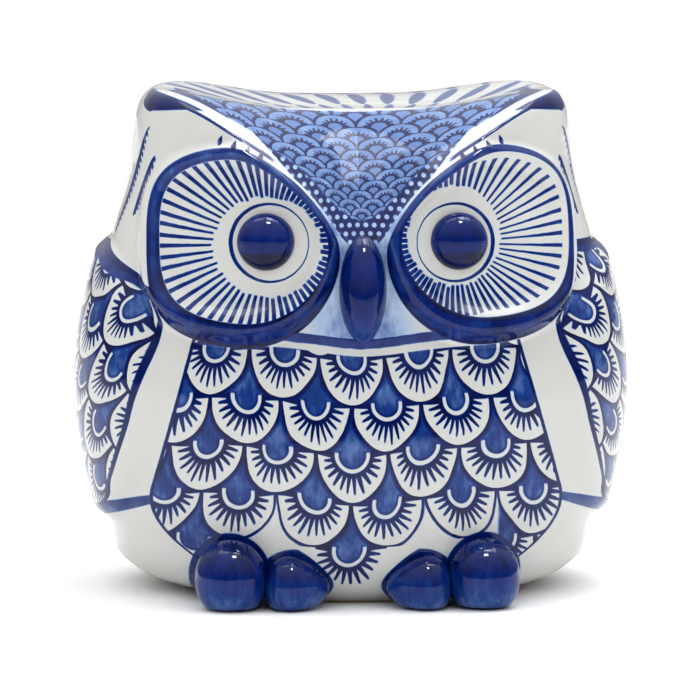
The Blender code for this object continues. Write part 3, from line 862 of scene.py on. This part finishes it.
def bridge(points, faces, rim, rings, facing):
    """Joins the rim to each ring in turn; facing is the sign of the y that the first strip faces."""
    points, faces = list(points), list(faces)
    count, previous, strips = len(rim), list(rim), []
    for ring in rings:
        fresh = list(range(len(points), len(points) + count))
        points += list(ring)
        for i in range(count):
            j = (i + 1) % count
            strips.append([previous[i], previous[j], fresh[j], fresh[i]])
        previous = fresh
    corner = [np.asarray(points[i]) for i in strips[0][:3]]
    turn = np.cross(corner[1] - corner[0], corner[2] - corner[0])[1]
    if turn * facing < 0:
        strips = [strip[::-1] for strip in strips]
    return np.array(points), faces + strips


def ring_at(angle, inset, z):
    """A ring at height z that follows the body's outline at its foot, shrunk by inset."""
    x, y = plain_section(angle, np.zeros_like(angle), np.ones_like(angle), inset)
    return np.stack([x, y, np.full_like(x, z)], -1)


def circle_at(angle, radius, z):
    return np.stack([radius * np.sin(angle), -radius * np.cos(angle), np.full_like(angle, z)], -1)


def column_angles(columns):
    """Angle of each of the grid's columns round the body, closer together at the front."""
    turn = np.linspace(-math.pi, math.pi, columns, endpoint=False)
    return turn - FRONT_CROWDING * np.sin(turn)


def underside(angle):
    """Rings from the top of the base hole, down and out over the recess, to the flat of the foot ring."""
    hole, width, height = STOPPER_HOLE_RADIUS, FOOT_RING_WIDTH, FOOT_RING_HEIGHT
    circles = ((hole, HOLE_TOP), (hole, height + 0.7), (hole + 0.25, height + 0.2), (hole + 0.8, height))
    rings = (
        (width + 0.9, height), (width + 0.2, height - 0.3), (width, height - 1.0), (width - 0.2, 0.5),
        (width - 0.8, 0.0), (1.4, 0.0), (0.7, 0.06),
    )
    return np.array([circle_at(angle, *at) for at in circles] + [ring_at(angle, *at) for at in rings])


def capped_faces(grid, skip):
    """Faces of a grid that is closed round each row and to a pole, which is the vertex after the grid's."""
    rows, columns = grid.shape[:2]
    pole, last = rows * columns, (rows - 1) * columns
    faces = grid_faces(rows, columns, skip)
    return faces + [[last + c, last + (c + 1) % columns, pole] for c in range(columns)]


def with_pole(grid):
    """The grid's points and, last, the middle of its top row."""
    return np.concatenate([grid.reshape(-1, 3), [grid[-1].mean(axis=0)]])


def painted_body(material):
    """The outside of the shell, with its foot ring, the recess in it, the base hole and the slot's wall."""
    grid = owl_grid(SHELL_COLUMNS, SHELL_ROWS, 0)
    angle = column_angles(SHELL_COLUMNS)
    grid[0] = ring_at(angle, 0.25, 0.3)
    grid = np.concatenate([underside(angle), grid])
    block = slot_block(grid, SLOT_ROOM)
    rim = slot_rim(grid, block)
    points = with_pole(grid)
    lip = [(grow * SLOT_LIP, depth * SLOT_LIP) for grow, depth in ((1, 0), (0.45, 0.14), (0.13, 0.5), (0, 1))]
    steps = [(3.2, 0), (2.0, 0), *lip, (0.0, SLOT_DEPTH)]
    faces = capped_faces(grid, block)
    points, faces = bridge(points, faces, rim, slot_rings(points[rim], steps), 1)
    piece = make_piece("painted_body", points, faces, material, "bank", "body_shell")
    store(piece, paint_guides(points))
    return piece


def hollow_inside(material):
    """The inside of the shell, which faces the coin chamber."""
    angle = column_angles(INSIDE_COLUMNS)
    chamber = owl_grid(INSIDE_COLUMNS, INSIDE_ROWS, WALL)
    grid = np.concatenate([[circle_at(angle, STOPPER_HOLE_RADIUS, HOLE_TOP)], chamber])
    block = slot_block(grid, SLOT_ROOM + 2.5)
    rim = slot_rim(grid, block)
    points = with_pole(grid)
    faces = [face[::-1] for face in capped_faces(grid, block)]
    points, faces = bridge(points, faces, rim, slot_rings(points[rim], [(0.0, SLOT_DEPTH)]), -1)
    return make_piece("chamber_wall", points, faces, material, "bank", "body_shell")


def closed_grid(grid):
    """Points and faces of a closed piece from rows that run from its bottom pole to its top pole."""
    rows, columns = grid.shape[:2]
    points = np.concatenate([grid.reshape(-1, 3), [grid[0].mean(axis=0), grid[-1].mean(axis=0)]])
    faces = grid_faces(rows, columns)
    last = (rows - 1) * columns
    faces += [[(c + 1) % columns, c, rows * columns] for c in range(columns)]
    faces += [[last + c, last + (c + 1) % columns, rows * columns + 1] for c in range(columns)]
    return points, faces


def ball(across, back, up, rings, sides):
    """Grid of a ball with its poles up and down, and its half sizes."""
    tilt = np.linspace(-math.pi / 2, math.pi / 2, rings + 2)[1:-1]
    turn = np.linspace(0, math.tau, sides, endpoint=False)
    tilt, turn = np.meshgrid(tilt, turn, indexing="ij")
    x, y = across * np.cos(tilt) * np.cos(turn), back * np.cos(tilt) * np.sin(turn)
    return np.stack([x, y, up * np.sin(tilt)], -1)


def pupil(word, side, material):
    """A ball of clay pressed on to the eye, sunk a little into it."""
    x, z, radius, reach = PUPIL
    centre = np.array((side * x, 0.0, z))
    centre[1] = front_surface(centre[:1], centre[2:])[0]
    points, faces = closed_grid(ball(radius, reach, radius, 46, 72) + centre)
    make_piece(f"{word}_pupil_bead", points, faces, material, "bank", f"{word}_pupil")


def beak(material):
    """An almond with a ridge down its front, hooked at the lower end."""
    grid = ball(1, 1, 1, 70, 72)
    middle, height = (BEAK_TOP + BEAK_BOTTOM) / 2, BEAK_TOP - BEAK_BOTTOM
    z = middle + grid[..., 2] * height / 2
    ridge = np.sign(grid[..., 1]) * np.abs(grid[..., 1]) ** 1.35
    hook = 1 + 0.56 * (middle - z) / height
    face = front_surface(np.zeros_like(z), z)
    depth = np.where(ridge < 0, BEAK_REACH * hook, 3.0)
    points, faces = closed_grid(np.stack([grid[..., 0] * BEAK_HALF_WIDTH, face + ridge * depth, z], -1))
    make_piece("beak_horn", points, faces, material, "bank", "beak")


def toe(word, side, kind, shape, material):
    """A ball of clay with a flat sole, drawn out to a low point on the inner toe."""
    x, forward, z = shape["centre"]
    half = np.array(shape["half"]) + (TOE_PRESS, 0.0, 0.2)
    grid = ball(1, 1, 1, 60, 84)
    swell = (np.abs(grid) ** TOE_SQUARENESS).sum(axis=-1, keepdims=True) ** (-1 / TOE_SQUARENESS)
    grid = grid * swell * half
    inward = np.clip(-side * grid[..., 0] / half[0], 0, 1)
    narrowed = 1 - 0.055 * shape["point"] * inward**1.5
    grid[..., 0] -= side * TOE_POINTING * shape["point"] * inward**1.5
    grid[..., 1] *= narrowed
    grid[..., 2] *= narrowed
    points, faces = closed_grid(grid + (side * x + TOE_SHIFT, -forward, z))
    low = points[:, 2] - SOLE
    points[:, 2] = SOLE + (low + np.sqrt(low**2 + 0.5)) / 2
    name = f"{word}_foot_{kind}"
    make_piece(f"{name}_glazed", points, faces, material, "bank", name)


def bung(material):
    """The rubber stopper: a dished flange with a rolled edge, a grip ring, a waist and a soft lip."""
    seat, top = FOOT_RING_HEIGHT - 0.3, HOLE_TOP + 2.2
    stem = STOPPER_HOLE_RADIUS - 0.35
    outline = (
        (0.01, 1.9), (3.0, 1.9), (3.6, 1.75), (3.9, 1.35), (4.6, 1.25), (5.3, 1.35), (5.6, 1.8), (6.2, 1.92),
        (11.6, 1.92), (12.6, 1.7), (13.4, 1.3), (14.4, 1.02), (15.6, 1.0), (16.2, 1.14), (16.8, 1.0),
        (21.6, 1.0), (22.5, 1.12), (22.9, 1.45), (23.0, 1.9), (22.9, 2.4), (22.5, seat), (19.4, seat),
        (stem - 0.5, seat + 0.2), (stem - 0.5, top - 2.6), (stem - 0.15, top - 1.9), (stem, top - 1.4),
        (stem - 0.3, top - 0.8), (stem - 1.2, top - 0.1), (stem - 1.8, top), (14.0, top), (13.4, top - 0.2),
        (12.8, top - 1.2), (0.01, top - 1.2),
    )
    angle = np.linspace(0, math.tau, 128, endpoint=False)
    rings = [np.stack([r * np.cos(angle), r * np.sin(angle), np.full_like(angle, z)], -1) for r, z in outline]
    points, faces = closed_grid(np.array(rings))
    make_piece("rubber_bung", points, faces, material, "stopper", "base_stopper")


def camera():
    data = bpy.data.cameras.new("camera")
    data.sensor_width = 36
    data.lens = 36 * CAMERA_DISTANCE / CAMERA_VIEW_WIDTH
    data.clip_start, data.clip_end = 0.05, 20
    made = bpy.data.objects.new("camera", data)
    azimuth, elevation = math.radians(CAMERA_AZIMUTH), math.radians(CAMERA_ELEVATION)
    level = CAMERA_DISTANCE * math.cos(elevation)
    made.location = (
        math.sin(azimuth) * level, -math.cos(azimuth) * level,
        CAMERA_AIM_HEIGHT + CAMERA_DISTANCE * math.sin(elevation),
    )
    made.rotation_euler = (math.pi / 2 - elevation, 0, azimuth)
    data.shift_x = -0.0007
    bpy.context.scene.collection.objects.link(made)
    bpy.context.scene.camera = made


def softbox(name, place, aim, size, radiance):
    """A rectangular soft box of even brightness that faces a point."""
    data = bpy.data.lights.new(name, "AREA")
    data.shape = "RECTANGLE"
    data.size, data.size_y = size
    data.energy = radiance * math.pi * size[0] * size[1]
    made = bpy.data.objects.new(name, data)
    made.location = place
    made.rotation_euler = (Vector(aim) - Vector(place)).to_track_quat("-Z", "Y").to_euler()
    bpy.context.scene.collection.objects.link(made)
    return made


def surround():
    """A pale studio: bright overhead, dimmer behind, and dark in front, which is what the glaze mirrors."""
    world = bpy.data.worlds.new("studio")
    world.use_nodes = True
    tree = world.node_tree
    place = tree.nodes.new("ShaderNodeTexCoord")
    lean = tree.nodes.new("ShaderNodeVectorMath")
    lean.operation = "DOT_PRODUCT"
    lean.inputs[1].default_value = SKY_LEAN
    ramp = tree.nodes.new("ShaderNodeMapRange")
    tree.links.new(place.outputs["Generated"], lean.inputs[0])
    tree.links.new(lean.outputs["Value"], ramp.inputs["Value"])
    ramp.inputs["From Min"].default_value, ramp.inputs["From Max"].default_value = 0.0, 1.0
    ramp.inputs["To Min"].default_value, ramp.inputs["To Max"].default_value = LOW_SKY, HIGH_SKY
    tree.links.new(ramp.outputs[0], tree.nodes["Background"].inputs["Strength"])
    tree.nodes["Background"].inputs["Color"].default_value = (1, 1, 1, 1)
    bpy.context.scene.world = world


def studio():
    """A plain pale floor and surround, soft boxes overhead, a small catch light and a broad fill in front."""
    surround()
    softbox("left_overhead", (-0.30, 0.12, 1.14), (0, 0, 0.1), (0.44, 0.50), 3.0)
    softbox("right_overhead", (0.32, 0.12, 1.14), (0, 0, 0.1), (0.50, 0.50), 5.0)
    softbox("key", (0.16, 0.04, 1.10), (0, 0, 0.1), (0.30, 0.26), 9.0)
    catch = softbox("catch_light", (0.12, -0.40, 1.12), (0, 0, 0.1), (0.19, 0.16), 62.0)
    catch.visible_diffuse = False
    fill = softbox("front_fill", (-0.3, -2.2, 1.1), (0, 0, 0.07), (1.8, 1.4), 0.68)
    fill.visible_glossy = False
    mesh = bpy.data.meshes.new("floor")
    corners = [(x * FLOOR_REACH, y * FLOOR_REACH, 0) for x, y in ((-1, -1), (1, -1), (1, 1), (-1, 1))]
    mesh.from_pydata(corners, [], [(0, 1, 2, 3)])
    floor = bpy.data.objects.new("floor", mesh)
    material = bpy.data.materials.new("pale_floor")
    material.use_nodes = True
    shader = material.node_tree.nodes["Principled BSDF"]
    shader.inputs["Base Color"].default_value = (*FLOOR_COLOUR, 1)
    shader.inputs["Roughness"].default_value = 0.9
    mesh.materials.append(material)
    bpy.context.scene.collection.objects.link(floor)
    bpy.context.scene.view_settings.view_transform = "Standard"


def build():
    camera()
    painted_body(painted_glaze())
    hollow_inside(inside_glaze())
    # The bead is inked darkest below 103.4 mm: a painted reflection of the dark surroundings over its lower
    # third.
    bead = solid_cobalt("bead_cobalt", ((103.4, 1.0), (104.6, 0.84)), 0.30, (4, 4, 14))
    horn = solid_cobalt("beak_cobalt", ((79.0, 0.66), (88.0, 0.86)), 0.18, (2, 2, 9))
    # The feet are inked lighter towards their soles: a painted reflection of the pale floor.
    foot = solid_cobalt("foot_cobalt", ((2.0, 0.58), (12.0, 0.86)), 0.38, (1.8, 1.8, 7))
    beak(horn)
    for word, side in (("left", -1), ("right", 1)):
        pupil(word, side, bead)
        for kind, shape in TOES.items():
            toe(word, side, kind, shape, foot)
    bung(stopper_rubber())
    studio()


build()
